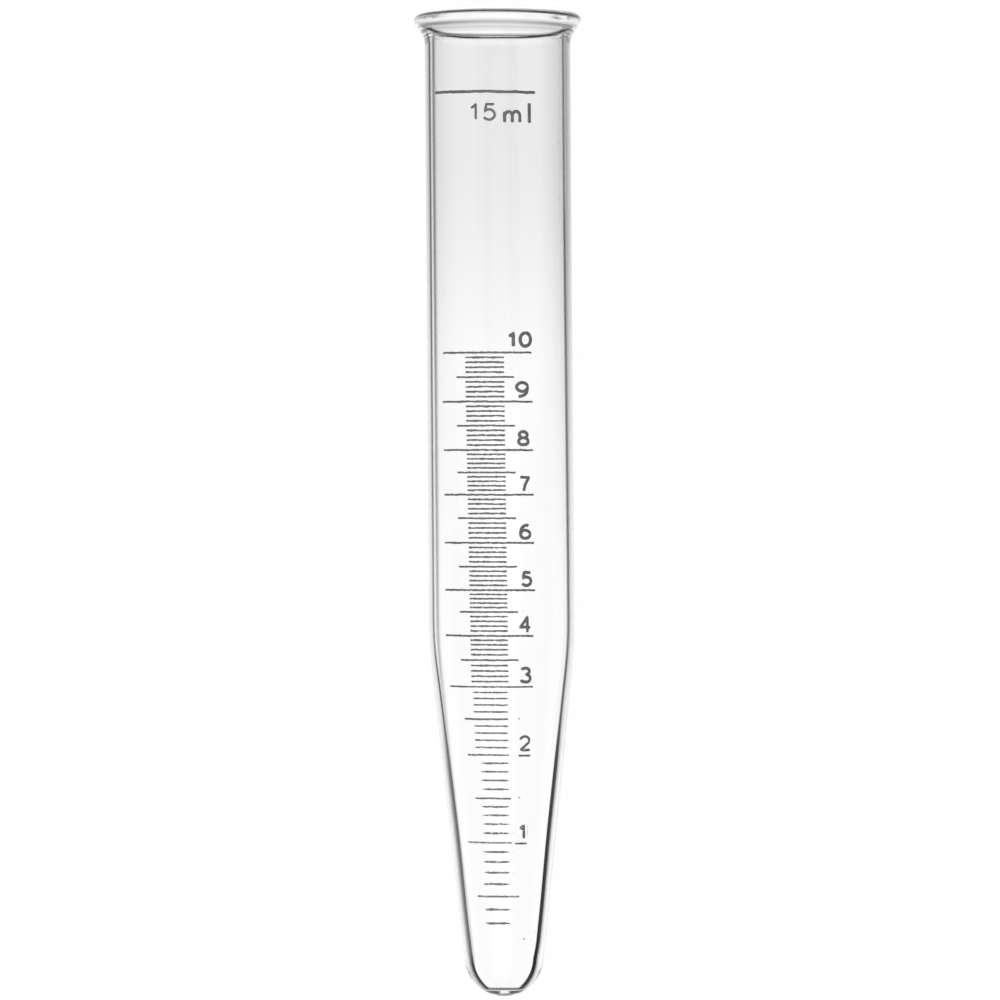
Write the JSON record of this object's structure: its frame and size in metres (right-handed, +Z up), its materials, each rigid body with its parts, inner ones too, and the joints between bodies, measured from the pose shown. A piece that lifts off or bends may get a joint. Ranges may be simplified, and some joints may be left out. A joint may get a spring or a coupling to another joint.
{
  "type": "glass conical centrifuge tube",
  "caption": "Clear glass centrifuge tube with a long cone, a thick round tip, a beaded lip and a printed volume scale. Lies on its side.",
  "frame": {"origin": "middle of the tube's footprint, on the bench that it lies on", "axes": "+Z up, +Y along the tube from the tip towards the mouth. The tube's axis rises 1.05 degrees towards the mouth, because the tube lies on its bead and on the shoulder of its cone. The printed scale faces +Z."},
  "size_m": [0.019, 0.1116, 0.019],
  "materials": {
    "glass": "clear, fire-polished",
    "enamel": "thin fired-on grey enamel, a little worn"
  },
  "bodies": {
    "root": {"glass_tube": "glass"}
  },
  "joints": []
}
